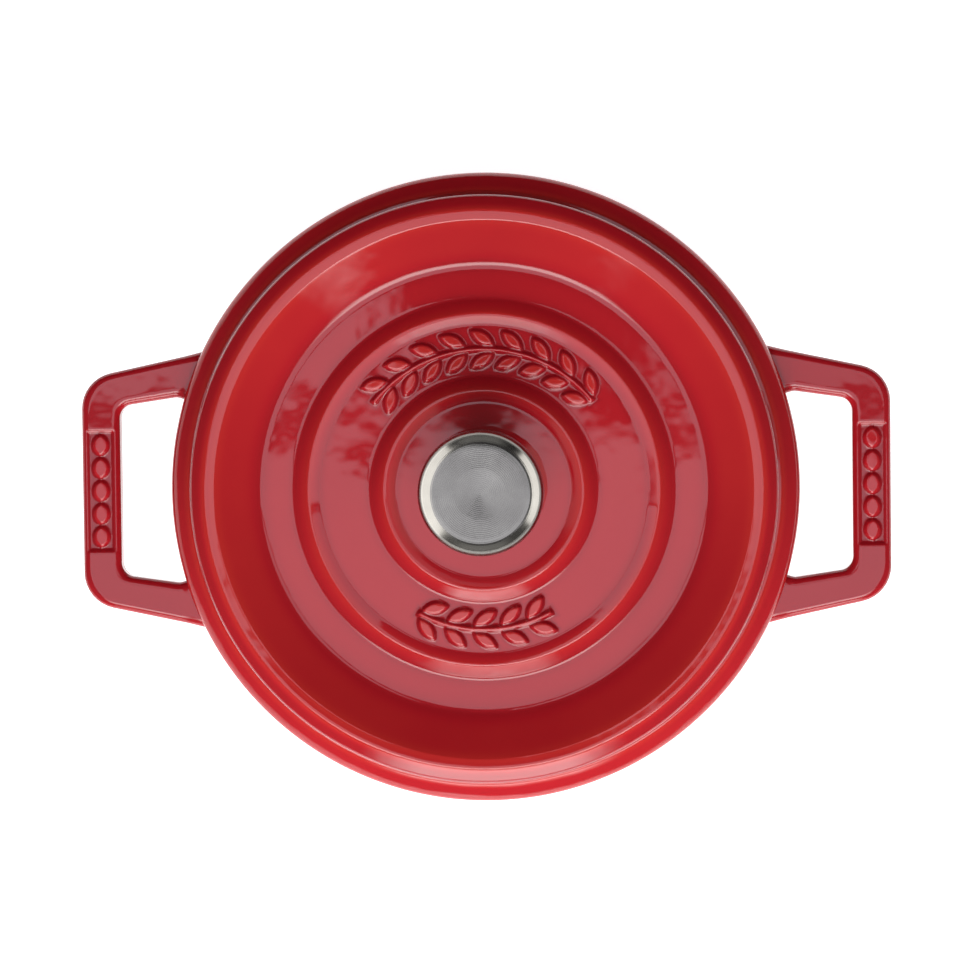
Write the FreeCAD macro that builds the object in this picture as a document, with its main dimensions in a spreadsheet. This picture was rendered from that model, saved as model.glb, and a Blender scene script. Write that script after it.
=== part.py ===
"""Round enamelled cast iron dutch oven, nominal size 20 cm, as a parametric FreeCAD document.

The pot is one casting with two loop handles. The lid is a second casting that rests on the pot's rim.
A metal knob stands on the lid, held by a screw from below over a flat washer and a split spring washer.
Frame: millimetres, +Z up, origin at the centre of the foot ring's plane, handles along X.
"""

import FreeCAD
import Part
import Sketcher
import math
import os

from FreeCAD import Placement, Rotation, Vector

# Driving dimensions, in millimetres. Each becomes a cell of the sheet with the same alias.
DIMENSIONS = {
    # pot, turned part
    "rim_height": 91.0,
    "rim_inner": 92.6,
    "rim_outer": 96.2,
    "collar_radius": 102.4,
    "collar_top": 85.6,
    "collar_low": 78.4,
    "neck_radius": 97.2,
    "neck_height": 70.0,
    "base_radius": 93.6,
    "base_height": 1.6,
    "foot_inner": 66.0,
    "foot_outer": 72.0,
    "foot_recess": 1.2,
    "floor_height": 5.6,
    "floor_radius": 90.2,
    # pot, handles
    "handle_middle": 75.6,
    "handle_thick": 10.4,
    "handle_reach": 132.3,
    "handle_root": 97.0,
    "handle_root_half": 44.2,
    "handle_end_half": 37.0,
    "opening_reach": 119.8,
    "opening_root": 96.0,
    "opening_root_half": 31.8,
    "opening_end_half": 27.4,
    "grip_panel_reach": 19.5,
    "grip_panel_half_width": 3.75,
    "grip_panel_depth": 0.5,
    # lid
    "lid_gap": 0.2,
    "lid_radius": 94.5,
    "lid_edge": 101.6,
    "lip_height": 105.0,
    "lip_outer": 89.6,
    "lip_inner": 86.4,
    "floor_outer": 72.0,
    "tray_height": 97.3,
    "field_height": 99.2,
    "seat_height": 101.0,
    "ring_two": 56.6,
    "ring_one": 32.2,
    "crest": 0.9,
    "skirt_outer": 91.6,
    "skirt_inner": 88.0,
    "skirt_depth": 3.4,
    "lid_wall": 4.0,
    "hole_radius": 3.3,
    # relief and basting spikes of the lid
    "relief_height": 0.9,
    "relief_sink": 0.4,
    "relief_radius": 45.0,
    "leaf_half": 4.3,
    "leaf_bulge": 1.8,
    "leaf_shift": 3.6,
    "stem_half": 0.7,
    "grip_leaf_half": 3.4,
    "grip_leaf_bulge": 2.8,
    "spike_root": 2.6,
    "spike_tip": 1.3,
    "spike_length": 4.6,
    # knob, screw and washers
    "knob_radius": 19.9,
    "knob_foot": 11.4,
    "knob_neck": 7.8,
    "knob_height": 36.6,
    "knob_edge": 26.0,
    "knob_dish": 8.0,
    "screw_radius": 3.0,
    "screw_length": 20.0,
    "screw_hole_depth": 15.0,
    "head_radius": 6.0,
    "head_height": 3.6,
    "recess_half": 2.6,
    "recess_width": 0.6,
    "recess_depth": 1.9,
    "washer_radius": 8.0,
    "washer_thick": 1.2,
    "spring_radius": 5.6,
    "spring_thick": 1.5,
    "spring_split": 0.7,
}
LID_SPRIGS = [("upper", 90.0, 9), ("lower", 270.0, 5)]  # name, middle angle in degrees, leaves a side
LEAF_PITCH = 11.4  # degrees along the lid's relief band
LEAF_LEAN = 32.0  # degrees between a leaf and the stem beside it
GRIP_LEAVES = 5
GRIP_LEAF_PITCH = 7.5
SPIKE_RINGS = [(24.0, 6), (45.0, 12), (64.0, 18)]  # radius, count
SHEET = "dims"

doc = FreeCAD.newDocument("dutch_oven")


def make_sheet():
    sheet = doc.addObject("Spreadsheet::Sheet", SHEET)
    for row, (alias, size) in enumerate(DIMENSIONS.items(), start=1):
        sheet.set(f"A{row}", alias)
        sheet.set(f"B{row}", str(size))
        sheet.setAlias(f"B{row}", alias)
    doc.recompute()


def value(formula):
    """The number that a sum of dimensions and plain numbers, such as "rim_height - 2", comes to."""
    total = 0.0
    sign = 1.0
    for word in formula.split():
        if word in ("+", "-"):
            sign = 1.0 if word == "+" else -1.0
        else:
            total += sign * (DIMENSIONS[word] if word in DIMENSIONS else float(word))
    return total


def bound(formula):
    """The same sum as an expression on the sheet's cells."""
    return " ".join(f"{SHEET}.{word}" if word in DIMENSIONS else word for word in formula.split())


def new_body(name):
    body = doc.addObject("PartDesign::Body", name)
    body.Label = name
    return body


def origin_feature(body, role):
    return next(feature for feature in body.Origin.OriginFeatures if feature.Role == role)


def new_sketch(body, name, role="XY_Plane", offset=Placement()):
    sketch = body.newObject("Sketcher::SketchObject", name)
    sketch.AttachmentSupport = (origin_feature(body, role), [""])
    sketch.MapMode = "FlatFace"
    sketch.AttachmentOffset = offset
    return sketch


def level(formula):
    """The placement of a sketch that lies flat at a height."""
    return Placement(Vector(0, 0, value(formula)), Rotation())


def outline(sketch, corners):
    """A closed outline through corners, each a pair of formulas, with every corner bound to the sheet."""
    points = [Vector(value(x), value(y), 0) for x, y in corners]
    first = sketch.GeometryCount
    for start, end in zip(points, points[1:] + points[:1]):
        sketch.addGeometry(Part.LineSegment(start, end))
    count = len(points)
    for index, corner in enumerate(corners):
        line = first + index
        after = first + (index + 1) % count
        sketch.addConstraint(Sketcher.Constraint("Coincident", line, 2, after, 1))
        for kind, formula, axis in (("DistanceX", corner[0], -2), ("DistanceY", corner[1], -1)):
            if value(formula) == 0.0:
                sketch.addConstraint(Sketcher.Constraint("PointOnObject", line, 1, axis))
                continue
            added = sketch.addConstraint(Sketcher.Constraint(kind, -1, 1, line, 1, value(formula)))
            sketch.setExpression(f"Constraints[{added}]", bound(formula))


def revolve(body, corners):
    """A solid turned round Z from an outline of (radius, height) corners."""
    sketch = new_sketch(body, body.Name + "_section", "XZ_Plane")
    outline(sketch, corners)
    turned = body.newObject("PartDesign::Revolution", body.Name + "_turned")
    turned.Profile = sketch
    turned.ReferenceAxis = (sketch, ["V_Axis"])
    turned.Angle = 360.0
    doc.recompute()


def extrude(body, kind, name, sketch, formula, backwards=False):
    """A Pad or Pocket whose length is a formula."""
    feature = body.newObject("PartDesign::" + kind, name)
    feature.Profile = sketch
    feature.Reversed = backwards
    feature.setExpression("Length", bound(formula))
    doc.recompute()
    return feature


def round_edges(body, name, chosen, radius):
    """A fillet on the edges of the body's tip that chosen(edge) picks out."""
    tip = body.Tip
    names = [f"Edge{n}" for n, edge in enumerate(tip.Shape.Edges, start=1) if chosen(edge)]
    if not names:
        raise ValueError(f"{name}: no edge to round")
    fillet = body.newObject("PartDesign::Fillet", name)
    fillet.Base = (tip, names)
    fillet.Radius = radius
    doc.recompute()


def circle_at(radius, height):
    """Picks the circles round Z of that radius and height, both formulas."""
    near = 0.05

    def chosen(edge):
        curve = edge.Curve
        if not isinstance(curve, Part.Circle):
            return False
        gaps = (curve.Center.x, curve.Center.y, curve.Radius - value(radius), curve.Center.z - value(height))
        return max(abs(gap) for gap in gaps) < near

    return chosen


def round_circles(body, rounded):
    """Fillets on turned corners: rounded holds (radius formula, height formula, fillet radius)."""
    for index, (radius, height, size) in enumerate(rounded):
        round_edges(body, f"{body.Name}_round_{index}", circle_at(radius, height), size)


def pattern_about_z(body, name, feature, count, angle):
    pattern = body.newObject("PartDesign::PolarPattern", name)
    pattern.Originals = [feature]
    pattern.Axis = (origin_feature(body, "Z_Axis"), [""])
    pattern.Angle = angle
    pattern.Occurrences = count
    body.Tip = pattern
    doc.recompute()


def leaf_pad(body, name, place, half, bulge, height):
    """A pointed leaf of two arcs, along the placement's X axis, padded upwards."""
    sketch = new_sketch(body, name + "_outline", offset=place)
    tips = [Vector(-value(half), 0, 0), Vector(value(half), 0, 0)]
    for side in (1, -1):
        sketch.addGeometry(Part.Arc(tips[0], Vector(0, side * value(bulge), 0), tips[1]))
    sketch.addConstraint([Sketcher.Constraint("Block", 0), Sketcher.Constraint("Block", 1)])
    return extrude(body, "Pad", name, sketch, height)


def make_pot_shell():
    """The pot's wall, floor, foot ring and flared collar, before the handles."""
    body = new_body("pot_shell")
    revolve(body, [
        ("0", "foot_recess"),
        ("foot_inner - 1.4", "foot_recess"),
        ("foot_inner", "0"),
        ("foot_outer", "0"),
        ("foot_outer + 1.8", "base_height"),
        ("base_radius", "base_height"),
        ("neck_radius", "neck_height"),
        ("collar_radius", "collar_low"),
        ("collar_radius", "collar_top"),
        ("rim_outer", "rim_height"),
        ("rim_inner", "rim_height"),
        ("floor_radius", "floor_height"),
        ("0", "floor_height"),
    ])
    round_circles(body, [
        ("base_radius", "base_height", 17.0),
        ("floor_radius", "floor_height", 15.0),
        ("neck_radius", "neck_height", 8.0),
        ("collar_radius", "collar_low", 1.6),
        ("collar_radius", "collar_top", 4.0),
        ("rim_outer", "rim_height", 1.6),
        ("rim_inner", "rim_height", 1.0),
    ])
    return body


def four_ways(end, root):
    """Both handles' outline from the corners of one quadrant, going round with changed signs."""
    quadrants = [("", "", (end, root)), ("- ", "", (root, end)), ("- ", "- ", (end, root)), ("", "- ", (root, end))]
    return [(way_x + x, way_y + y) for way_x, way_y, corners in quadrants for x, y in corners]


def make_handle_loops():
    """Both loop handles as one slab with two finger openings, its middle cut out inside the pot's wall."""
    body = new_body("handle_slab")
    sketch = new_sketch(body, "handle_outline", offset=level("handle_middle"))
    outline(sketch, four_ways(("handle_reach", "handle_end_half"), ("handle_root", "handle_root_half")))
    for way in ("", "- "):
        outline(sketch, [
            (way + "opening_root", "opening_root_half"),
            (way + "opening_reach", "opening_end_half"),
            (way + "opening_reach", "- opening_end_half"),
            (way + "opening_root", "- opening_root_half"),
        ])
    slab = extrude(body, "Pad", "slab", sketch, "handle_thick")
    slab.Midplane = True
    doc.recompute()
    round_edges(body, "grip_corners", upright_at("handle_reach"), 13.0)
    round_edges(body, "opening_corners", upright_at("opening_reach"), 4.0)
    half = value("handle_thick") / 2

    def top_or_bottom(edge):
        return all(abs(abs(v.Z - value("handle_middle")) - half) < 0.01 for v in edge.Vertexes)

    round_edges(body, "bar_edges", top_or_bottom, 2.4)
    decorate_grips(body)
    core = doc.addObject("Part::Cylinder", "cavity_core")
    core.setExpression("Radius", bound("rim_inner + 2"))
    core.setExpression("Height", bound("rim_height"))
    loops = doc.addObject("Part::Cut", "handle_loops")
    loops.Base = body
    loops.Tool = core
    return loops


def upright_at(reach):
    """Picks the upright edges at a distance from the middle along X, a formula."""

    def chosen(edge):
        along = edge.tangentAt(edge.FirstParameter)
        return abs(along.z) > 0.99 and abs(abs(edge.CenterOfMass.x) - value(reach)) < 0.1

    return chosen


def rectangle_sketch(body, name, place, half_x, half_y):
    """A rectangle about the placement's origin, its half sizes as names of dimensions."""
    sketch = new_sketch(body, name, offset=place)
    outline(sketch, [
        (half_x, half_y),
        ("- " + half_x, half_y),
        ("- " + half_x, "- " + half_y),
        (half_x, "- " + half_y),
    ])
    return sketch


def decorate_grips(body):
    """A shallow panel sunk into each grip's top, with a row of broad leaves standing in it."""
    top = value("handle_middle") + value("handle_thick") / 2
    base = top - value("grip_panel_depth") - value("relief_sink")
    grip = (value("handle_reach") + value("opening_reach")) / 2
    along = Rotation(Vector(0, 0, 1), 90)
    for name, side in (("right", 1), ("left", -1)):
        place = Placement(Vector(side * grip, 0, top), Rotation())
        panel = rectangle_sketch(body, name + "_panel_outline", place, "grip_panel_half_width", "grip_panel_reach")
        extrude(body, "Pocket", name + "_panel", panel, "grip_panel_depth")
        for index in range(GRIP_LEAVES):
            spot = Vector(side * grip, (index - (GRIP_LEAVES - 1) / 2) * GRIP_LEAF_PITCH, base)
            height = "relief_sink + grip_panel_depth"
            leaf_name = f"{name}_leaf_{index}"
            leaf_pad(body, leaf_name, Placement(spot, along), "grip_leaf_half", "grip_leaf_bulge", height)


def make_pot():
    pot = doc.addObject("Part::Fuse", "pot")
    pot.Base = make_pot_shell()
    pot.Tool = make_handle_loops()
    pot.Refine = True
    doc.recompute()
    return pot


def make_lid():
    """The lid: a raised lip round a sunken tray, two low rings, relief sprigs and basting spikes below."""
    body = new_body("lid")
    seat_under = "seat_height - lid_wall"
    field_under = "field_height - lid_wall"
    tray_under = "tray_height - lid_wall"
    skirt_end = "rim_height - skirt_depth"
    revolve(body, [
        ("hole_radius", "seat_height"),
        ("ring_one - 4", "seat_height"),
        ("ring_one", "seat_height + crest"),
        ("ring_one + 4.4", "field_height"),
        ("ring_two - 3.8", "field_height"),
        ("ring_two", "field_height + crest"),
        ("ring_two + 4.8", "tray_height"),
        ("floor_outer", "tray_height"),
        ("lip_inner", "lip_height - 0.3"),
        ("lip_outer", "lip_height"),
        ("lid_radius", "lid_edge"),
        ("lid_radius", "rim_height + lid_gap"),
        ("skirt_outer", "rim_height + lid_gap"),
        ("skirt_outer - 0.4", skirt_end),
        ("skirt_inner", skirt_end),
        ("lip_inner + 0.4", "lip_height - 5.6"),
        ("floor_outer + 1.4", tray_under),
        ("ring_two + 2.4", tray_under),
        ("ring_two - 2.4", field_under),
        ("ring_one + 2.2", field_under),
        ("ring_one - 2.2", seat_under),
        ("hole_radius", seat_under),
    ])
    round_circles(body, [
        ("ring_one - 4", "seat_height", 2.5),
        ("ring_one", "seat_height + crest", 0.9),
        ("ring_one + 4.4", "field_height", 3.0),
        ("ring_two - 3.8", "field_height", 2.5),
        ("ring_two", "field_height + crest", 0.9),
        ("ring_two + 4.8", "tray_height", 3.0),
        ("floor_outer", "tray_height", 5.0),
        ("lip_inner", "lip_height - 0.3", 2.4),
        ("lip_outer", "lip_height", 1.8),
        ("lid_radius", "lid_edge", 2.2),
        ("lid_radius", "rim_height + lid_gap", 0.8),
        ("skirt_outer - 0.4", skirt_end, 0.8),
        ("skirt_inner", skirt_end, 0.8),
        ("lip_inner + 0.4", "lip_height - 5.6", 1.5),
        ("floor_outer + 1.4", tray_under, 4.0),
    ])
    for name, middle, count in LID_SPRIGS:
        add_sprig(body, name, middle, count)
    add_spikes(body)
    return body


def add_sprig(body, name, middle, count):
    """A curved stem in low relief on the field between the rings, with leaves on both sides of it."""
    span = LEAF_PITCH * (count - 1)
    start = middle - span / 2
    base = value("field_height - relief_sink")
    add_stem(body, name + "_stem", middle, span + LEAF_PITCH)
    for label, side in ((name + "_outer_leaf", 1), (name + "_inner_leaf", -1)):
        reach = value("relief_radius") + side * value("leaf_shift")
        spot = Rotation(Vector(0, 0, 1), start).multVec(Vector(reach, 0, 0)) + Vector(0, 0, base)
        place = Placement(spot, Rotation(Vector(0, 0, 1), start + 90 - side * LEAF_LEAN))
        pad = leaf_pad(body, label, place, "leaf_half", "leaf_bulge", "relief_height + relief_sink")
        pattern_about_z(body, label + "_row", pad, count, span)


def add_stem(body, name, middle, span):
    """A narrow ridge along an arc of the relief band."""
    sketch = new_sketch(body, name + "_outline", offset=level("field_height - relief_sink"))
    ends = [math.radians(middle - span / 2), math.radians(middle + span / 2)]
    inner = value("relief_radius - stem_half")
    outer = value("relief_radius + stem_half")
    for radius in (inner, outer):
        circle = Part.Circle(Vector(0, 0, 0), Vector(0, 0, 1), radius)
        sketch.addGeometry(Part.ArcOfCircle(circle, *ends))
    for end in ends:
        way = Vector(math.cos(end), math.sin(end), 0)
        sketch.addGeometry(Part.LineSegment(way * inner, way * outer))
    sketch.addConstraint([Sketcher.Constraint("Block", index) for index in range(sketch.GeometryCount)])
    extrude(body, "Pad", name, sketch, "relief_sink + relief_height - 0.2")


def add_spikes(body):
    """Rings of short tapered spikes under the lid, one ring on each of its three flat steps."""
    steps = ["seat_height - lid_wall", "field_height - lid_wall", "tray_height - lid_wall"]
    length = "spike_length + relief_sink"
    slope = value("spike_root - spike_tip") / value(length)
    for index, ((radius, count), step) in enumerate(zip(SPIKE_RINGS, steps)):
        sketch = new_sketch(body, f"spike_{index}_outline", offset=level(step + " + relief_sink"))
        sketch.addGeometry(Part.Circle(Vector(radius, 0, 0), Vector(0, 0, 1), value("spike_root")))
        added = sketch.addConstraint(Sketcher.Constraint("Radius", 0, value("spike_root")))
        sketch.setExpression(f"Constraints[{added}]", bound("spike_root"))
        sketch.addConstraint(Sketcher.Constraint("PointOnObject", 0, 3, -1))
        sketch.addConstraint(Sketcher.Constraint("DistanceX", -1, 1, 0, 3, radius))
        pad = extrude(body, "Pad", f"spike_{index}", sketch, length, backwards=True)
        pad.TaperAngle = -math.degrees(math.atan(slope))
        doc.recompute()
        pattern_about_z(body, f"spikes_{index}", pad, count, 360.0)


def make_knob():
    """A turned mushroom knob with a blind hole for the screw, standing on the lid's seat."""
    body = new_body("knob")
    hole_end = "seat_height + screw_hole_depth"
    edge = "seat_height + knob_edge"
    top = "seat_height + knob_height"
    revolve(body, [
        ("screw_radius + 0.05", "seat_height"),
        ("knob_foot", "seat_height"),
        ("knob_foot", "seat_height + 2"),
        ("knob_neck", "seat_height + 10"),
        ("knob_neck + 0.8", "seat_height + 18"),
        ("knob_radius - 2", edge + " - 3.4"),
        ("knob_radius", edge),
        ("knob_radius - 0.4", top),
        ("knob_dish", top),
        ("0", top + " - 0.3"),
        ("0", hole_end),
        ("screw_radius + 0.05", hole_end),
    ])
    round_circles(body, [
        ("knob_foot", "seat_height + 2", 1.2),
        ("knob_neck", "seat_height + 10", 8.0),
        ("knob_neck + 0.8", "seat_height + 18", 8.0),
        ("knob_radius - 2", edge + " - 3.4", 2.0),
        ("knob_radius", edge, 2.4),
        ("knob_radius - 0.4", top, 5.2),
    ])
    return body


def make_washer(name, top, radius, thick):
    """A flat ring round the screw, hanging from the height top, all sizes as formulas."""
    body = new_body(name)
    revolve(body, [
        ("hole_radius", top),
        (radius, top),
        (radius, f"{top} - {thick}"),
        ("hole_radius", f"{top} - {thick}"),
    ])
    return body


def make_spring_washer():
    """A ring between the flat washer and the screw's head, split on one side."""
    top = "seat_height - lid_wall - washer_thick"
    body = make_washer("spring_washer", top, "spring_radius", "spring_thick")
    sketch = new_sketch(body, "split_outline", offset=level(top))
    outline(sketch, [
        ("hole_radius - 1", "0"),
        ("spring_radius + 1", "0"),
        ("spring_radius + 1", "spring_split"),
        ("hole_radius - 1", "spring_split"),
    ])
    extrude(body, "Pocket", "split", sketch, "spring_thick + 1")
    return body


def make_screw():
    """Pan head screw from below, with a cross recess in its head."""
    body = new_body("knob_screw")
    head_top = "seat_height - lid_wall - washer_thick - spring_thick"
    head_low = head_top + " - head_height"
    end = head_top + " + screw_length"
    revolve(body, [
        ("0", end),
        ("screw_radius - 0.7", end),
        ("screw_radius", end + " - 0.7"),
        ("screw_radius", head_top),
        ("head_radius", head_top),
        ("head_radius", head_low + " + 1.8"),
        ("head_radius - 2.2", head_low),
        ("0", head_low),
    ])
    round_circles(body, [("head_radius", head_low + " + 1.8", 1.2)])
    arms = (("cross_x", "recess_half", "recess_width"), ("cross_y", "recess_width", "recess_half"))
    for name, half_x, half_y in arms:
        sketch = rectangle_sketch(body, name + "_outline", level(head_low), half_x, half_y)
        extrude(body, "Pocket", name, sketch, "recess_depth", backwards=True)
    return body


def check_document():
    failed = [o.Name for o in doc.Objects if "Invalid" in o.State or "Error" in o.State]
    if failed:
        raise RuntimeError(f"these objects failed: {failed}")


def write_parts(parts):
    os.makedirs("parts", exist_ok=True)
    for part in parts:
        shape = part.Shape
        if shape.isNull() or not shape.isValid() or len(shape.Solids) != 1:
            raise RuntimeError(f"{part.Label} is not one valid solid")
        shape.exportStep(f"parts/{part.Label}.step")
        box = shape.BoundBox
        print(f"{part.Label}: {shape.Volume / 1000:.2f} cm3, z {box.ZMin:.1f} to {box.ZMax:.1f}")


make_sheet()
flat_washer = make_washer("flat_washer", "seat_height - lid_wall", "washer_radius", "washer_thick")
made = [make_pot(), make_lid(), make_knob(), flat_washer, make_spring_washer(), make_screw()]
doc.recompute()
check_document()
write_parts(made)
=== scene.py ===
import math

import bmesh
import bpy
import numpy as np
from mathutils import Matrix, Vector


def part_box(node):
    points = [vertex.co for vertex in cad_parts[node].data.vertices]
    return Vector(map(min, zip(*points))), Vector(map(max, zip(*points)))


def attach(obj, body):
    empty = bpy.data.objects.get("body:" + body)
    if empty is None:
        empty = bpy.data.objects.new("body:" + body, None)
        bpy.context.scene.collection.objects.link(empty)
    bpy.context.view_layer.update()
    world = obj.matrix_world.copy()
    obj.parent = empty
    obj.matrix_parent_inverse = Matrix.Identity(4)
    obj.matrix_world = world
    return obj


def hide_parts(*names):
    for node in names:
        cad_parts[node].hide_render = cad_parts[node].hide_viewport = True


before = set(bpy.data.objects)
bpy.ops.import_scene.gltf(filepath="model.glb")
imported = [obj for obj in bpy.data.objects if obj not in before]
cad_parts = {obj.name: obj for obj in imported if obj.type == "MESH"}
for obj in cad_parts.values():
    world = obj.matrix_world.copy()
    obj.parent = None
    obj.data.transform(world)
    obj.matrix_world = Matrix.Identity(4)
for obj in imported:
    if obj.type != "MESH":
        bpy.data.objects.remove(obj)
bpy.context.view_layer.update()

MM = 0.001
GRID = 0.42 * MM  # spacing of the mesh where the castings carry relief

_, pot_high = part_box("pot")
lid_low, lid_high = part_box("lid")
knob_low, knob_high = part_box("knob")

RIM = pot_high.z
REACH = pot_high.x
COLLAR = pot_high.y
LID_RADIUS = lid_high.x
LIP_TOP = lid_high.z
SEAT = knob_low.z
KNOB_TOP = knob_high.z
KNOB_RADIUS = knob_high.x


# ---------------------------------------------------------------- mesh helpers

def smooth_step(low, high, x):
    t = np.clip((x - low) / (high - low), 0.0, 1.0)
    return t * t * (3.0 - 2.0 * t)


def rounded_profile(corners, spacing):
    """Points along an outline of (radius, height, fillet) corners, each corner turned into an arc."""
    points = []
    count = len(corners)
    for i, (r, z, fillet) in enumerate(corners):
        here = np.array((r, z))
        if fillet == 0.0 or i in (0, count - 1):
            points.append(here)
            continue
        before = np.array(corners[i - 1][:2]) - here
        after = np.array(corners[i + 1][:2]) - here
        len_before, len_after = np.linalg.norm(before), np.linalg.norm(after)
        before, after = before / len_before, after / len_after
        angle = math.acos(np.clip(before @ after, -1.0, 1.0))
        cut = min(fillet / math.tan(angle / 2.0), 0.49 * len_before, 0.49 * len_after)
        radius = cut * math.tan(angle / 2.0)
        middle = here + (before + after) / np.linalg.norm(before + after) * radius / math.sin(angle / 2.0)
        start = here + before * cut - middle
        turn = math.pi - angle
        side = math.copysign(1.0, start[0] * (after - before)[1] - start[1] * (after - before)[0])
        steps = max(3, int(turn / math.radians(9.0)))
        for k in range(steps + 1):
            a = side * turn * k / steps
            c, s = math.cos(a), math.sin(a)
            points.append(middle + np.array((c * start[0] - s * start[1], s * start[0] + c * start[1])))
    dense = [points[0]]
    for p, q in zip(points, points[1:]):
        pieces = max(1, int(math.ceil(np.linalg.norm(q - p) / spacing)))
        dense.extend(p + (q - p) * k / pieces for k in range(1, pieces + 1))
    return np.array(dense)


def turned_mesh(name, profile, segments, closed_start, closed_end):
    """A mesh turned round Z from a profile; an end on the axis is closed by one vertex."""
    angles = np.arange(segments) * 2.0 * math.pi / segments
    rows = profile[1 if closed_start else 0: len(profile) - (1 if closed_end else 0)]
    ring = np.stack([np.cos(angles), np.sin(angles)], axis=1)
    grid = np.empty((len(rows), segments, 3))
    grid[:, :, :2] = rows[:, 0, None, None] * ring[None]
    grid[:, :, 2] = rows[:, 1, None]
    vertices = grid.reshape(-1, 3).tolist()
    faces = []
    for i in range(len(rows) - 1):
        a = i * segments
        b = a + segments
        for j in range(segments):
            k = (j + 1) % segments
            faces.append((a + j, a + k, b + k, b + j))
    if closed_start:
        vertices.append((0.0, 0.0, profile[0][1]))
        tip = len(vertices) - 1
        faces.extend((tip, (j + 1) % segments, j) for j in range(segments))
    if closed_end:
        vertices.append((0.0, 0.0, profile[-1][1]))
        tip = len(vertices) - 1
        last = (len(rows) - 1) * segments
        faces.extend((tip, last + j, last + (j + 1) % segments) for j in range(segments))
    mesh = bpy.data.meshes.new(name)
    mesh.from_pydata(vertices, [], faces)
    return mesh


def finish_mesh(mesh):
    """Outward normals and smooth shading."""
    work = bmesh.new()
    work.from_mesh(mesh)
    bmesh.ops.remove_doubles(work, verts=work.verts, dist=1e-7)
    bmesh.ops.recalc_face_normals(work, faces=work.faces)
    work.to_mesh(mesh)
    work.free()
    mesh.polygons.foreach_set("use_smooth", [True] * len(mesh.polygons))
    mesh.update()


def add_piece(name, mesh, body, slot, *nodes):
    piece = bpy.data.objects.new(name, mesh)
    bpy.context.scene.collection.objects.link(piece)
    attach(piece, body)
    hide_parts(*nodes)
    return piece


def coordinates(mesh):
    flat = np.empty(len(mesh.vertices) * 3)
    mesh.vertices.foreach_get("co", flat)
    return flat.reshape(-1, 3)


def set_coordinates(mesh, points):
    mesh.vertices.foreach_set("co", points.ravel())
    mesh.update()


def set_attribute(mesh, name, values):
    layer = mesh.attributes.new(name, "FLOAT", "POINT")
    layer.data.foreach_set("value", np.ascontiguousarray(values, dtype=np.float32))


# ---------------------------------------------------------------- relief

LEAF_HALF = 4.3 * MM
LEAF_BULGE = 1.9 * MM
LEAF_SHIFT = 3.6 * MM
LEAF_LEAN = math.radians(32.0)
LEAF_PITCH = math.radians(11.4)
STEM_HALF = 0.7 * MM
RELIEF_RADIUS = 45.0 * MM
RELIEF_HEIGHT = 1.15 * MM
RELIEF_BAND = 9.0 * MM
LID_SPRIGS = ((math.radians(90.0), 9), (math.radians(270.0), 5))
GRIP_LEAF_HALF = 3.4 * MM
GRIP_LEAF_BULGE = 2.5 * MM
GRIP_LEAF_PITCH = 7.5 * MM
GRIP_LEAVES = 5


def leaf_distance(x, y, centre, angle, half, bulge):
    """Signed distance, about, to a leaf of two arcs: negative inside it."""
    dx, dy = x - centre[0], y - centre[1]
    along = dx * math.cos(angle) + dy * math.sin(angle)
    across = np.abs(-dx * math.sin(angle) + dy * math.cos(angle))
    radius = (half * half + bulge * bulge) / (2.0 * bulge)
    arc = np.hypot(along, across + radius - bulge) - radius
    tip = np.hypot(np.abs(along) - half, across)
    return np.where(np.abs(along) <= half, arc, tip)


def raised(distance, soft):
    """Height from 0 to 1 of an enamelled edge at a signed distance."""
    return 1.0 - smooth_step(-soft, soft, distance)


def sprig_distance(x, y):
    """Signed distance, about, to both sprigs on the lid's field."""
    radius = np.hypot(x, y)
    angle = np.arctan2(y, x)
    nearest = np.full_like(x, 1.0)
    for middle, count in LID_SPRIGS:
        span = LEAF_PITCH * (count - 1)
        turned = np.abs((angle - middle + math.pi) % (2.0 * math.pi) - math.pi)
        past_end = (turned - (span + LEAF_PITCH) / 2.0) * RELIEF_RADIUS
        stem = np.maximum(np.abs(radius - RELIEF_RADIUS) - STEM_HALF, past_end)
        nearest = np.minimum(nearest, stem)
        for side in (1, -1):
            reach = RELIEF_RADIUS + side * LEAF_SHIFT
            for k in range(count):
                at = middle - span / 2.0 + k * LEAF_PITCH
                centre = (reach * math.cos(at), reach * math.sin(at))
                lean = at + math.pi / 2.0 - side * LEAF_LEAN
                leaf = leaf_distance(x, y, centre, lean, LEAF_HALF, LEAF_BULGE)
                nearest = np.minimum(nearest, leaf)
    return nearest


def relief_foot_shade(distance, reach):
    """Painted shade round a raised edge: 1 just outside it, falling to 0 a reach away from it and on top
    of it.
    """
    return (1.0 - smooth_step(0.0, reach, distance)) * smooth_step(-0.9 * MM, 0.0, distance)


# ---------------------------------------------------------------- the lid

SKIRT_END = lid_low.z
TRAY = 97.3 * MM
FIELD = 99.2 * MM
WALL = 4.0 * MM
CREST = 0.9 * MM
LIP_OUTER = 89.6 * MM
LIP_INNER = 86.4 * MM
FLOOR_OUTER = 72.0 * MM
RING_TWO = 56.6 * MM
RING_ONE = 32.2 * MM
HOLE = 3.3 * MM
LID_EDGE = 101.6 * MM
LID_UNDER = RIM + 0.2 * MM
SPIKE_RINGS = ((24.0 * MM, 6), (45.0 * MM, 12), (64.0 * MM, 18))  # radius, count
SPIKE_LENGTH = 4.6 * MM
SPIKE_ROOT = 2.9 * MM
SPIKE_SLOPE = 1.7 * MM
LID_SEGMENTS = 720


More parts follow.
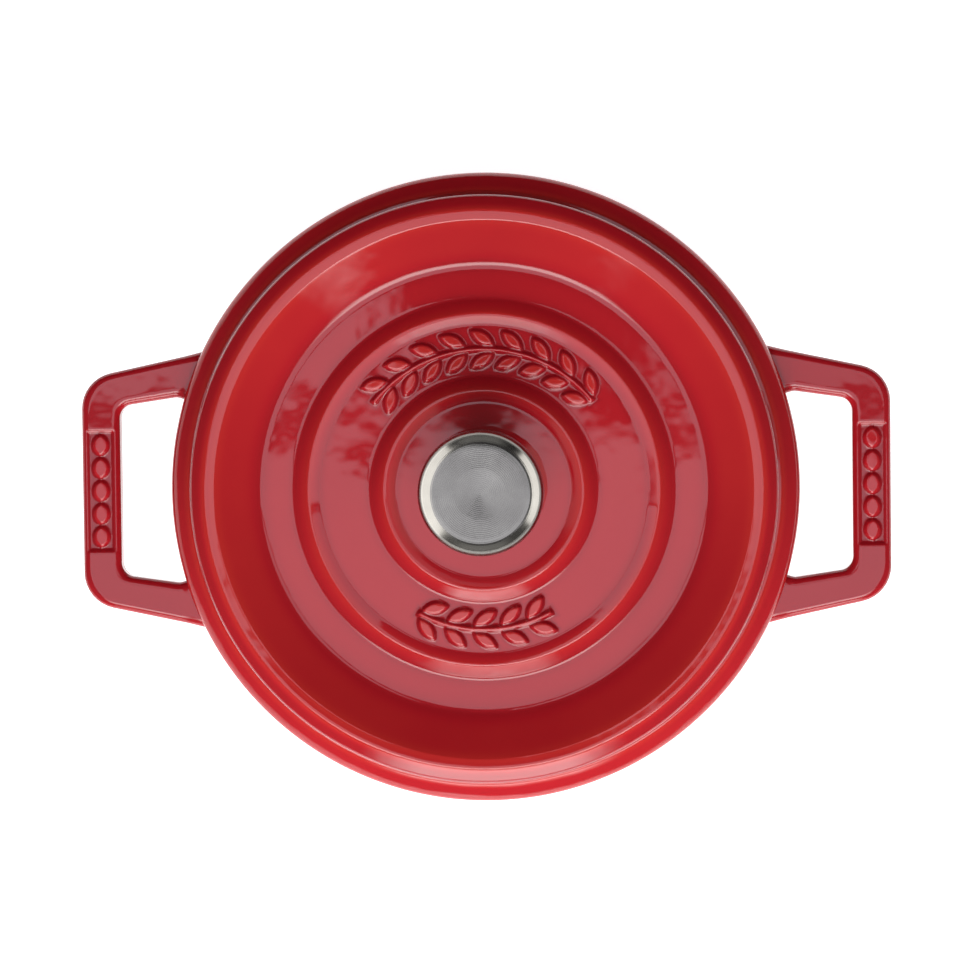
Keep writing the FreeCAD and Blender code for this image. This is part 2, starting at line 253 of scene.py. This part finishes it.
def lid_corners():
    """The lid's section as (radius, height, fillet) corners, from the hole up, out and back underneath."""
    return [
        (HOLE, SEAT - WALL, 0.0),
        (HOLE, SEAT, 0.3 * MM),
        (RING_ONE - 4.0 * MM, SEAT, 3.0 * MM),
        (RING_ONE, SEAT + CREST, 1.6 * MM),
        (RING_ONE + 4.4 * MM, FIELD, 3.0 * MM),
        (RING_TWO - 3.8 * MM, FIELD, 3.0 * MM),
        (RING_TWO, FIELD + CREST, 1.6 * MM),
        (RING_TWO + 4.8 * MM, TRAY, 3.0 * MM),
        (FLOOR_OUTER, TRAY, 5.0 * MM),
        (LIP_INNER, LIP_TOP - 0.3 * MM, 1.4 * MM),
        (LIP_OUTER, LIP_TOP, 1.8 * MM),
        (LID_RADIUS, LID_EDGE, 2.2 * MM),
        (LID_RADIUS, LID_UNDER, 0.8 * MM),
        (91.6 * MM, LID_UNDER, 0.5 * MM),
        (91.2 * MM, SKIRT_END, 0.9 * MM),
        (88.0 * MM, SKIRT_END, 0.9 * MM),
        (LIP_INNER + 0.4 * MM, LIP_TOP - 5.6 * MM, 2.0 * MM),
        (FLOOR_OUTER + 1.4 * MM, TRAY - WALL, 5.0 * MM),
        (RING_TWO + 2.4 * MM, TRAY - WALL, 2.0 * MM),
        (RING_TWO - 2.4 * MM, FIELD - WALL, 2.0 * MM),
        (RING_ONE + 2.2 * MM, FIELD - WALL, 2.0 * MM),
        (RING_ONE - 2.2 * MM, SEAT - WALL, 2.0 * MM),
        (HOLE, SEAT - WALL, 0.0),
    ]


def spike_drop(x, y):
    """How far the underside's basting spikes hang below it at a point."""
    drop = np.zeros_like(x)
    for radius, count in SPIKE_RINGS:
        for k in range(count):
            at = 2.0 * math.pi * k / count
            away = np.hypot(x - radius * math.cos(at), y - radius * math.sin(at))
            cone = np.clip((SPIKE_ROOT - away) / SPIKE_SLOPE, 0.0, 1.0)
            drop = np.maximum(drop, SPIKE_LENGTH * smooth_step(0.0, 1.0, cone))
    return drop


def make_lid():
    """The lid turned from its section, with sprigs raised on top and spikes drawn down below."""
    profile = rounded_profile(lid_corners(), GRID * 1.2)
    mesh = turned_mesh("lid_casting", profile, LID_SEGMENTS, False, False)
    points = coordinates(mesh)
    row = np.repeat(np.arange(len(profile)), LID_SEGMENTS)
    top_end = int(np.argmax(profile[:, 0]))
    is_top = row <= top_end
    radius = np.hypot(points[:, 0], points[:, 1])
    field = is_top & (np.abs(radius - RELIEF_RADIUS) < RELIEF_BAND)
    relief = np.zeros(len(points))
    gap = sprig_distance(points[field, 0], points[field, 1])
    relief[field] = raised(gap, 0.6 * MM)
    points[:, 2] += RELIEF_HEIGHT * relief
    under = ~is_top & (radius < FLOOR_OUTER)
    points[under, 2] -= spike_drop(points[under, 0], points[under, 1])
    set_coordinates(mesh, points)
    # Painted highlight: this value lightens the enamel towards orange on the ring crests, the lip's edges
    # and the sprigs' tops, partly the thinner enamel on an edge and partly a painted highlight.
    edge_tint_and_highlight = np.zeros(len(points))
    for crest, width, strength in (
            (RING_ONE, 1.7, 0.35),
            (RING_TWO, 1.9, 0.35),
            (LIP_INNER + 0.6 * MM, 2.0, 0.5),
            (LIP_OUTER, 1.6, 0.5)):
        edge_tint_and_highlight = np.maximum(edge_tint_and_highlight, strength * np.exp(-((radius - crest) / (width * MM)) ** 2) * is_top)
    edge_tint_and_highlight = np.maximum(edge_tint_and_highlight, relief * 0.55)
    # Painted highlight: a bright line along the lid's lower outer edge.
    lower_edge_highlight = np.exp(-((points[:, 2] - (RIM + 0.8 * MM)) / (1.0 * MM)) ** 2) * (radius > LIP_OUTER)
    set_attribute(mesh, "edge_tint_and_highlight", np.maximum(edge_tint_and_highlight, 0.5 * lower_edge_highlight))
    # Painted shade: this value darkens the enamel at the feet of the rings and in a ring round each sprig,
    # partly enamel pooled in the hollows and partly painted shade.
    pooling_and_shade = np.zeros(len(points))
    for foot, width in (
            (RING_ONE - 4.0 * MM, 1.6),
            (RING_ONE + 4.4 * MM, 1.8),
            (RING_TWO - 3.8 * MM, 1.6),
            (RING_TWO + 4.8 * MM, 1.8),
            (FLOOR_OUTER, 2.6)):
        pooling_and_shade = np.maximum(pooling_and_shade, 0.45 * np.exp(-((radius - foot) / (width * MM)) ** 2) * is_top)
    pooling_and_shade[field] = np.maximum(pooling_and_shade[field], relief_foot_shade(gap, 2.4 * MM))
    # Painted shade: darker enamel on the band outside the lip.
    pooling_and_shade = np.maximum(pooling_and_shade, 0.45 * smooth_step(LIP_OUTER + 0.5 * MM, LIP_OUTER + 2.5 * MM, radius))
    set_attribute(mesh, "pooling_and_shade", pooling_and_shade)
    slope = smooth_step(FLOOR_OUTER - 1.0 * MM, FLOOR_OUTER + 6.0 * MM, radius)
    slope *= 1.0 - smooth_step(LIP_INNER - 1.5 * MM, LIP_INNER + 0.5 * MM, radius)
    set_attribute(mesh, "slope", slope * is_top)
    finish_mesh(mesh)
    lid = add_piece("lid_casting", mesh, "lid", "red_enamel_lid", "lid")
    mesh.materials.append(enamel)
    mesh.materials.append(black_enamel)
    for face in mesh.polygons:
        centre = face.center
        inside = math.hypot(centre.x, centre.y) < 91.7 * MM and face.normal.z < 0.25
        low = centre.z <= SEAT - 0.5 * MM
        face.material_index = 1 if inside and low and below_top(centre) else 0
    return lid


def below_top(centre):
    """True for a point on the lid's underside, which lies at least half a wall under the top."""
    line = (
        (0.0, SEAT),
        (RING_ONE, SEAT),
        (RING_ONE + 4.4 * MM, FIELD),
        (RING_TWO, FIELD),
        (RING_TWO + 4.8 * MM, TRAY),
        (FLOOR_OUTER, TRAY),
        (LIP_INNER, LIP_TOP),
        (92.0 * MM, LIP_TOP),
    )
    radii, heights = zip(*line)
    top = np.interp(math.hypot(centre.x, centre.y), radii, heights)
    return centre.z < top - 0.45 * WALL


# ---------------------------------------------------------------- the pot

FOOT_INNER = 66.0 * MM
FOOT_OUTER = 72.0 * MM
FOOT_RECESS = 1.2 * MM
BASE_RADIUS = 93.6 * MM
NECK_RADIUS = 97.2 * MM
RIM_INNER = 92.6 * MM
POT_SEGMENTS = 512
HANDLE_MIDDLE = 75.6 * MM
HANDLE_HALF = 5.2 * MM
GRIP_PANEL_HALF = 19.5 * MM
GRIP_PANEL_WIDTH = 8.4 * MM
GRIP_PANEL_DEPTH = 0.9 * MM
OPENING_REACH = 119.8 * MM
OPENING_ROOT = COLLAR - 1.6 * MM


def pot_corners():
    """The pot's section as (radius, height, fillet) corners, from under the bottom round to the floor."""
    return [
        (0.0, FOOT_RECESS, 0.0),
        (FOOT_INNER - 1.4 * MM, FOOT_RECESS, 0.8 * MM),
        (FOOT_INNER, 0.0, 0.7 * MM),
        (FOOT_OUTER, 0.0, 0.7 * MM),
        (FOOT_OUTER + 1.8 * MM, 1.6 * MM, 1.2 * MM),
        (BASE_RADIUS, 1.6 * MM, 17.0 * MM),
        (NECK_RADIUS, 70.0 * MM, 8.0 * MM),
        (COLLAR, 78.4 * MM, 2.0 * MM),
        (COLLAR, 85.6 * MM, 4.0 * MM),
        (96.2 * MM, RIM, 1.6 * MM),
        (RIM_INNER, RIM, 1.0 * MM),
        (90.2 * MM, 5.6 * MM, 15.0 * MM),
        (0.0, 5.6 * MM, 0.0),
    ]


def make_pot():
    """The pot without its handles, red outside and black inside and under the bottom."""
    profile = rounded_profile(pot_corners(), 2.2 * MM)
    mesh = turned_mesh("pot_casting", profile, POT_SEGMENTS, True, True)
    points = coordinates(mesh)
    radius = np.hypot(points[:, 0], points[:, 1])
    # Painted highlight and painted shade: the enamel is lightened on the collar's edge (partly thinner
    # enamel) and along a line on the rim's outer edge, and darkened in a narrow ring on the rim by the
    # lid's edge.
    edge_tint_and_highlight = np.exp(-((radius - COLLAR) / (1.0 * MM)) ** 2) * 0.5
    rim_edge_highlight = np.exp(-((radius - 96.0 * MM) / (1.2 * MM)) ** 2) * (points[:, 2] > RIM - 1.5 * MM)
    edge_tint_and_highlight = np.maximum(edge_tint_and_highlight, 0.8 * rim_edge_highlight)
    set_attribute(mesh, "edge_tint_and_highlight", edge_tint_and_highlight)
    set_attribute(mesh, "slope", np.zeros(len(points)))
    set_attribute(mesh, "pooling_and_shade", np.exp(-((radius - 95.6 * MM) / (1.0 * MM)) ** 2) * 0.5)
    finish_mesh(mesh)
    pot = add_piece("pot_casting", mesh, "pot", "red_enamel", "pot")
    mesh.materials.append(enamel)
    mesh.materials.append(black_enamel)
    for face in mesh.polygons:
        centre = face.center
        r = math.hypot(centre.x, centre.y)
        inside = r < RIM_INNER + 0.2 * MM and centre.z > 4.0 * MM and inner_side(r, centre.z)
        bottom = centre.z < 1.9 * MM and r < BASE_RADIUS - 12.0 * MM
        rim = centre.z > RIM - 1.3 * MM and r < 93.9 * MM
        face.material_index = 1 if inside or bottom or rim else 0
    return pot


def inner_side(r, z):
    """True for a point nearer the cavity's wall than the outer wall."""
    heights = (0.0, 20.0 * MM, 70.0 * MM, RIM)
    middles = (84.0 * MM, 91.6 * MM, 94.3 * MM, 94.2 * MM)
    return r < np.interp(z, heights, middles)


def loop_points(corners, radii, count):
    """Evenly spaced points along an open line of (x, y) corners, its inner corners rounded."""
    flat = [(x, y, r) for (x, y), r in zip(corners, radii)]
    line = rounded_profile(flat, 0.3 * MM)
    steps = np.linalg.norm(np.diff(line, axis=0), axis=1)
    run = np.concatenate([[0.0], np.cumsum(steps)])
    at = np.linspace(0.0, run[-1], count)
    return np.stack([np.interp(at, run, line[:, k]) for k in (0, 1)], axis=1)


def handle_section(count):
    """A bar's rounded section as evenly spaced (across, up) pairs from -1 to 1, going round once."""
    wide, tall, fillet = 6.2 * MM, HANDLE_HALF, 2.6 * MM
    corners = [(wide, 0.0), (wide, tall), (-wide, tall), (-wide, -tall), (wide, -tall), (wide, 0.0)]
    line = loop_points(corners, [0.0, fillet, fillet, fillet, fillet, 0.0], count + 1)[:-1]
    return line[:, 0] / wide, line[:, 1] / tall


def mirrored(half):
    """A line of corners followed by its own mirror image across the X axis."""
    return half + [(x, -y) for x, y in reversed(half)]


def make_handle(name, side):
    """One loop handle, swept round from one arm's root to the other's."""
    count, around = 420, 100
    outer_half = [(88.0 * MM, 46.0 * MM), (REACH, 36.6 * MM)]
    inner_half = [(94.5 * MM, 29.0 * MM), (OPENING_ROOT, 30.4 * MM), (OPENING_REACH, 27.6 * MM)]
    outer = loop_points(mirrored(outer_half), [0.0, 12.0 * MM, 12.0 * MM, 0.0], count)
    inner = loop_points(mirrored(inner_half), [0.0, 4.0 * MM, 4.5 * MM, 4.5 * MM, 4.0 * MM, 0.0], count)
    middle, half = (outer + inner) / 2.0, (outer - inner) / 2.0
    across, up = handle_section(around)
    reach = np.hypot(middle[:, 0], middle[:, 1])
    flare = 1.0 - smooth_step(COLLAR - 1.0 * MM, COLLAR + 5.0 * MM, reach)
    wide = 1.0 + 0.03 * flare
    tall = HANDLE_HALF * (1.0 + 0.10 * flare)
    grid = np.empty((count, around, 3))
    for k in (0, 1):
        grid[:, :, k] = middle[:, None, k] + (half[:, None, k] * wide[:, None]) * across[None]
    grid[:, :, 2] = HANDLE_MIDDLE + tall[:, None] * up[None]
    grid = grid.reshape(-1, 3)
    x, y = grid[:, 0], grid[:, 1]
    top = smooth_step(HANDLE_MIDDLE + 2.0 * MM, HANDLE_MIDDLE + 4.6 * MM, grid[:, 2])
    grip = (REACH + OPENING_REACH) / 2.0
    panel = np.maximum(np.abs(x - grip) - GRIP_PANEL_WIDTH / 2.0, np.abs(y) - GRIP_PANEL_HALF)
    sunk = raised(panel, 0.8 * MM)
    gap = np.full_like(x, 1.0)
    for k in range(GRIP_LEAVES):
        centre = (grip, (k - (GRIP_LEAVES - 1) / 2.0) * GRIP_LEAF_PITCH)
        leaf = leaf_distance(x, y, centre, math.pi / 2.0, GRIP_LEAF_HALF, GRIP_LEAF_BULGE)
        gap = np.minimum(gap, leaf)
    leaves = raised(gap, 0.7 * MM)
    grid[:, 2] += top * GRIP_PANEL_DEPTH * (1.2 * leaves - sunk)
    # Painted shade and painted highlight: the sunk grip panel round the leaves is darkened (partly pooled
    # enamel, partly painted shade), and the leaves' tops and the bar's edges are lightened (partly thinner
    # enamel, partly painted highlight).
    pooling_and_shade = top * sunk * (1.0 - leaves)
    edge_tint_and_highlight = 0.45 * leaves * top + 0.25 * np.clip(np.abs(np.tile(across, count)), 0.0, 1.0) ** 6 * top
    if side < 0:
        grid[:, :2] *= -1.0
    faces = []
    for i in range(count - 1):
        for j in range(around):
            k = (j + 1) % around
            faces.append((i * around + j, (i + 1) * around + j, (i + 1) * around + k, i * around + k))
    faces.append(tuple(range(around)))
    faces.append(tuple((count - 1) * around + j for j in reversed(range(around))))
    mesh = bpy.data.meshes.new(name)
    mesh.from_pydata(grid.tolist(), [], faces)
    set_attribute(mesh, "edge_tint_and_highlight", edge_tint_and_highlight)
    set_attribute(mesh, "slope", np.zeros(len(grid)))
    # Painted shade: the floor of 0.5 darkens the whole handle, standing in for the shade beside the pot.
    set_attribute(mesh, "pooling_and_shade", np.maximum(pooling_and_shade, 0.5))
    finish_mesh(mesh)
    mesh.materials.append(enamel)
    return add_piece(name, mesh, "pot", "red_enamel", "pot")


# ---------------------------------------------------------------- the knob

def make_knob():
    """The knob without its screw hole, which the lid hides."""
    edge = SEAT + 26.0 * MM
    profile = rounded_profile([
        (0.0, SEAT, 0.0),
        (11.4 * MM, SEAT, 0.3 * MM),
        (11.4 * MM, SEAT + 2.0 * MM, 1.2 * MM),
        (7.8 * MM, SEAT + 10.0 * MM, 9.0 * MM),
        (8.6 * MM, SEAT + 18.0 * MM, 9.0 * MM),
        (KNOB_RADIUS - 2.0 * MM, edge - 3.4 * MM, 2.0 * MM),
        (KNOB_RADIUS, edge, 2.4 * MM),
        (KNOB_RADIUS - 0.4 * MM, KNOB_TOP, 5.2 * MM),
        (8.0 * MM, KNOB_TOP, 8.0 * MM),
        (0.0, KNOB_TOP - 0.3 * MM, 0.0),
    ], 0.6 * MM)
    mesh = turned_mesh("knob_turned", profile, 256, True, True)
    finish_mesh(mesh)
    mesh.materials.append(nickel)
    return add_piece("knob_turned", mesh, "lid", "knob_metal", "knob")


# ---------------------------------------------------------------- materials

def new_material(name):
    material = bpy.data.materials.new(name)
    material.use_nodes = True
    nodes, links = material.node_tree.nodes, material.node_tree.links
    return material, nodes, links, nodes["Principled BSDF"]


def noise(nodes, links, vector, scale, detail=2.0):
    texture = nodes.new("ShaderNodeTexNoise")
    texture.inputs["Scale"].default_value = scale
    texture.inputs["Detail"].default_value = detail
    links.new(vector, texture.inputs["Vector"])
    return texture.outputs["Fac"]


def ramp(nodes, links, factor, stops):
    node = nodes.new("ShaderNodeValToRGB")
    elements = node.color_ramp.elements
    while len(elements) < len(stops):
        elements.new(0.5)
    for element, (at, colour) in zip(elements, stops):
        element.position = at
        element.color = (*colour, 1.0)
    links.new(factor, node.inputs["Fac"])
    return node.outputs["Color"]


def math_node(nodes, links, kind, first, second):
    node = nodes.new("ShaderNodeMath")
    node.operation = kind
    for socket, source in zip(node.inputs, (first, second)):
        if isinstance(source, (int, float)):
            socket.default_value = source
        else:
            links.new(source, socket)
    return node.outputs[0]


def attribute(nodes, name):
    node = nodes.new("ShaderNodeAttribute")
    node.attribute_name = name
    return node.outputs["Fac"]


def bump(nodes, links, height, strength, distance):
    node = nodes.new("ShaderNodeBump")
    node.inputs["Strength"].default_value = strength
    node.inputs["Distance"].default_value = distance
    links.new(height, node.inputs["Height"])
    return node.outputs["Normal"]


def make_enamel():
    """Translucent cherry enamel: orange-red on edges, partly thin enamel and partly painted highlight,
    deep red in hollows, partly pooled enamel and partly painted shade, and a little lighter on the lid's
    inner slope.
    """
    material, nodes, links, shader = new_material("cherry_enamel")
    place = nodes.new("ShaderNodeTexCoord").outputs["Object"]
    cloud = noise(nodes, links, place, 26.0, 3.0)
    # Mesh attributes set the tone: lightening on edges (thin enamel and painted highlight) and darkening
    # in hollows (pooled enamel and painted shade).
    edge_tint_and_highlight = attribute(nodes, "edge_tint_and_highlight")
    slope = attribute(nodes, "slope")
    varied = math_node(nodes, links, "MULTIPLY_ADD", edge_tint_and_highlight, 0.3)
    varied.node.inputs[2].default_value = 0.3
    uneven = math_node(nodes, links, "MULTIPLY", cloud, 0.12)
    pool_and_shade_darkening = math_node(nodes, links, "MULTIPLY", attribute(nodes, "pooling_and_shade"), 0.24)
    brighter = math_node(nodes, links, "MULTIPLY", slope, 0.05)
    level = math_node(nodes, links, "SUBTRACT", math_node(nodes, links, "ADD", varied, uneven), pool_and_shade_darkening)
    level = math_node(nodes, links, "ADD", level, brighter)
    colour = ramp(nodes, links, level, (
        (0.0, (0.20, 0.004, 0.009)),
        (0.36, (0.42, 0.009, 0.015)),
        (0.62, (0.54, 0.028, 0.020)),
        (1.0, (0.60, 0.070, 0.035)),
    ))
    links.new(colour, shader.inputs["Base Color"])
    shader.inputs["Roughness"].default_value = 0.3
    shader.inputs["Specular IOR Level"].default_value = 0.0
    shader.inputs["Coat Weight"].default_value = 1.0
    shader.inputs["Coat Roughness"].default_value = 0.035
    shader.inputs["Coat IOR"].default_value = 1.5
    waves = math_node(nodes, links, "ADD", noise(nodes, links, place, 42.0, 0.0),
                      math_node(nodes, links, "MULTIPLY", noise(nodes, links, place, 130.0, 1.0), 0.22))
    surface = bump(nodes, links, waves, 0.5, 0.0005)
    links.new(surface, shader.inputs["Normal"])
    links.new(surface, shader.inputs["Coat Normal"])
    return material


def make_black_enamel():
    """Matte black enamel with a fine grain, inside the pot, under the lid and under the pot."""
    material, nodes, links, shader = new_material("black_enamel")
    place = nodes.new("ShaderNodeTexCoord").outputs["Object"]
    grain = noise(nodes, links, place, 900.0, 3.0)
    cloud = noise(nodes, links, place, 40.0, 2.0)
    colour = ramp(nodes, links, cloud, ((0.3, (0.010, 0.010, 0.011)), (0.7, (0.022, 0.021, 0.021))))
    links.new(colour, shader.inputs["Base Color"])
    rough = ramp(nodes, links, grain, ((0.2, (0.42,) * 3), (0.8, (0.6,) * 3)))
    links.new(rough, shader.inputs["Roughness"])
    links.new(bump(nodes, links, grain, 0.5, 0.0003), shader.inputs["Normal"])
    return material


def make_nickel():
    """Satin nickel with the fine rings of turning and a slightly uneven tone."""
    material, nodes, links, shader = new_material("satin_nickel")
    place = nodes.new("ShaderNodeTexCoord").outputs["Object"]
    split = nodes.new("ShaderNodeSeparateXYZ")
    links.new(place, split.inputs[0])
    squares = [math_node(nodes, links, "MULTIPLY", split.outputs[k], split.outputs[k]) for k in (0, 1)]
    radius = math_node(nodes, links, "SQRT", math_node(nodes, links, "ADD", *squares), 0.0)
    turned = math_node(nodes, links, "SINE", math_node(nodes, links, "MULTIPLY", radius, 11000.0), 0.0)
    cloud = noise(nodes, links, place, 70.0, 3.0)
    colour = ramp(nodes, links, cloud, ((0.3, (0.17, 0.162, 0.148)), (0.7, (0.23, 0.22, 0.20))))
    links.new(colour, shader.inputs["Base Color"])
    shader.inputs["Metallic"].default_value = 1.0
    rough = ramp(nodes, links, cloud, ((0.2, (0.17,) * 3), (0.8, (0.23,) * 3)))
    links.new(rough, shader.inputs["Roughness"])
    links.new(bump(nodes, links, turned, 0.12, 0.00004), shader.inputs["Normal"])
    return material


def make_steel(name, tone, rough):
    """Plain steel of a grey tone and a least roughness."""
    material, nodes, links, shader = new_material(name)
    place = nodes.new("ShaderNodeTexCoord").outputs["Object"]
    cloud = noise(nodes, links, place, 600.0, 3.0)
    colour = ramp(nodes, links, cloud, ((0.3, (tone * 0.85,) * 3), (0.7, (tone,) * 3)))
    links.new(colour, shader.inputs["Base Color"])
    shader.inputs["Metallic"].default_value = 1.0
    roughness = ramp(nodes, links, cloud, ((0.2, (rough,) * 3), (0.8, (rough + 0.15,) * 3)))
    links.new(roughness, shader.inputs["Roughness"])
    return material


def make_floor_material():
    material, _, _, shader = new_material("white_floor")
    shader.inputs["Base Color"].default_value = (0.9, 0.9, 0.9, 1.0)
    shader.inputs["Roughness"].default_value = 0.9
    shader.inputs["Specular IOR Level"].default_value = 0.0
    shader.inputs["Emission Color"].default_value = (1.0, 1.0, 1.0, 1.0)
    shader.inputs["Emission Strength"].default_value = 0.86
    return material


enamel = make_enamel()
black_enamel = make_black_enamel()
nickel = make_nickel()
plain_steel = make_steel("plain_steel", 0.6, 0.3)
dark_steel = make_steel("spring_steel", 0.35, 0.35)

make_pot()
make_handle("handle_right", 1)
make_handle("handle_left", -1)
make_lid()
knob = make_knob()
fastener_materials = (
    ("knob_screw", plain_steel),
    ("flat_washer", plain_steel),
    ("spring_washer", dark_steel),
)
for node, material in fastener_materials:
    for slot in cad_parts[node].material_slots:
        slot.material = material


# ---------------------------------------------------------------- stage, light and camera

FLOOR_HALF = 4.0
FLOOR_DROP = 0.2 * MM  # keeps the foot ring's face clear of the floor


def make_floor():
    mesh = bpy.data.meshes.new("floor")
    corners = [(-1, -1), (1, -1), (1, 1), (-1, 1)]
    vertices = [(x * FLOOR_HALF, y * FLOOR_HALF, -FLOOR_DROP) for x, y in corners]
    mesh.from_pydata(vertices, [], [(0, 1, 2, 3)])
    floor = bpy.data.objects.new("floor", mesh)
    bpy.context.scene.collection.objects.link(floor)
    mesh.materials.append(make_floor_material())


def soften_edges(data, fade_share):
    """Fades a panel's glow towards its edges, as the cloth of a softbox does."""
    data.use_nodes = True
    nodes, links = data.node_tree.nodes, data.node_tree.links
    split = nodes.new("ShaderNodeSeparateXYZ")
    links.new(nodes.new("ShaderNodeNewGeometry").outputs["Parametric"], split.inputs[0])
    fades = []
    for axis in (0, 1):
        from_middle = math_node(nodes, links, "SUBTRACT", split.outputs[axis], 0.5)
        fade = nodes.new("ShaderNodeMapRange")
        fade.interpolation_type = "SMOOTHSTEP"
        fade.inputs["From Min"].default_value = 0.5
        fade.inputs["From Max"].default_value = 0.5 - fade_share
        links.new(math_node(nodes, links, "ABSOLUTE", from_middle, 0.0), fade.inputs["Value"])
        fades.append(fade.outputs[0])
    links.new(math_node(nodes, links, "MULTIPLY", *fades), nodes["Emission"].inputs["Strength"])


def add_panel(name, place, target, size, level, fade_share=0.26, colour=(1.0, 1.0, 1.0)):
    """A rectangular soft light at place, facing target; level is its brightness, white being 1."""
    data = bpy.data.lights.new(name, "AREA")
    data.shape = "RECTANGLE"
    data.size, data.size_y = size
    data.energy = level * math.pi * size[0] * size[1]
    data.color = colour
    soften_edges(data, fade_share)
    lamp = bpy.data.objects.new(name, data)
    bpy.context.scene.collection.objects.link(lamp)
    lamp.location = place
    lamp.rotation_euler = (Vector(target) - Vector(place)).to_track_quat("-Z", "Y").to_euler()
    lamp.visible_camera = False
    return lamp


def limit_light(lamp, pieces, state):
    """Lets a light fall on the named pieces only (INCLUDE), or on all but them (EXCLUDE)."""
    group = bpy.data.collections.new(lamp.name + "_pieces")
    for piece in pieces:
        group.objects.link(piece)
    lamp.light_linking.receiver_collection = group
    for item in group.collection_objects:
        item.light_linking.link_state = state


make_floor()

PANEL_HEIGHT = 2.0
OVERHEAD_FADE = 0.05
COOL = (0.96, 0.98, 1.1)
for name, x, y, width, depth, level in (
        ("overhead_south", 0.0, -0.42, 1.8, 0.84, 1.8),
        ("overhead_west", -0.5, 0.27, 0.76, 0.54, 1.8),
        ("overhead_east", 0.44, 0.27, 0.76, 0.54, 1.4)):
    add_panel(name, (x, y, PANEL_HEIGHT), (x, y, 0.0), (width, depth), level, OVERHEAD_FADE, COOL)
south_key = add_panel("south_key", (0.0, -1.2, 1.88), (0.0, 0.0, 0.1), (2.4, 1.05), 7.4)
south_middle = add_panel("south_middle", (0.0, -1.8, 1.12), (0.0, 0.0, 0.1), (1.5, 0.42), 3.8)
south_low = add_panel("south_low", (0.0, -2.0, 0.62), (0.0, 0.0, 0.1), (2.0, 0.9), 6.0)
west_wall = add_panel("west_wall", (-0.6, 0.08, 0.75), (0.0, 0.08, 0.75), (1.5, 1.5), 4.0, 0.06)
east_wall = add_panel("east_wall", (0.7, 0.08, 0.55), (0.0, 0.08, 0.55), (1.2, 1.0), 4.0, 0.06)
north_wall = add_panel("north_wall", (0.0, 0.9, 0.7), (0.0, 0.0, 0.7), (1.2, 1.4), 0.45, 0.3)
south_wall = add_panel("south_wall", (0.0, -0.9, 0.7), (0.0, 0.0, 0.7), (1.2, 1.4), 0.45, 0.3)
for lamp in (south_key, south_middle, south_low):
    limit_light(lamp, [knob], "EXCLUDE")
for lamp in (west_wall, east_wall, north_wall, south_wall):
    limit_light(lamp, [knob], "INCLUDE")

world = bpy.data.worlds.new("studio")
bpy.context.scene.world = world
world.use_nodes = True
sky_nodes, sky_links = world.node_tree.nodes, world.node_tree.links
background = sky_nodes["Background"]
direction = sky_nodes.new("ShaderNodeTexCoord").outputs["Generated"]
towards = sky_nodes.new("ShaderNodeSeparateXYZ")
sky_links.new(direction, towards.inputs[0])
north = math_node(sky_nodes, sky_links, "MULTIPLY_ADD", towards.outputs[1], 0.5)
north.node.inputs[2].default_value = 0.5
sky = ramp(sky_nodes, sky_links, north, (
    (0.0, (1.0, 0.99, 0.98)),
    (0.5, (0.5, 0.5, 0.5)),
    (0.9, (0.06, 0.06, 0.06)),
))
sky_links.new(sky, background.inputs["Color"])
background.inputs["Strength"].default_value = 0.22

CAMERA_DISTANCE = 1.12
CAMERA_TILT = math.radians(2.7)
CAMERA_WAY = math.radians(51.0)
CAMERA_ROLL = math.radians(-0.57)
AIM = Vector((0.0006, -0.0002, 0.078))
camera_data = bpy.data.cameras.new("camera")
camera_data.lens = 126.3
camera_data.sensor_width = 36.0
camera = bpy.data.objects.new("camera", camera_data)
bpy.context.scene.collection.objects.link(camera)
sideways = math.sin(CAMERA_TILT)
offset = Vector((
    sideways * math.cos(CAMERA_WAY),
    sideways * math.sin(CAMERA_WAY),
    math.cos(CAMERA_TILT),
))
camera.location = AIM + offset * CAMERA_DISTANCE
forward = (AIM - camera.location).normalized()
right = Vector((1.0, 0.0, 0.0))
right = (right - forward * right.dot(forward)).normalized()
up = right.cross(forward)
turned_right = right * math.cos(CAMERA_ROLL) + up * math.sin(CAMERA_ROLL)
turned_up = up * math.cos(CAMERA_ROLL) - right * math.sin(CAMERA_ROLL)
camera.rotation_euler = Matrix((turned_right, turned_up, -forward)).transposed().to_euler()
bpy.context.scene.camera = camera
bpy.context.scene.view_settings.view_transform = "Standard"
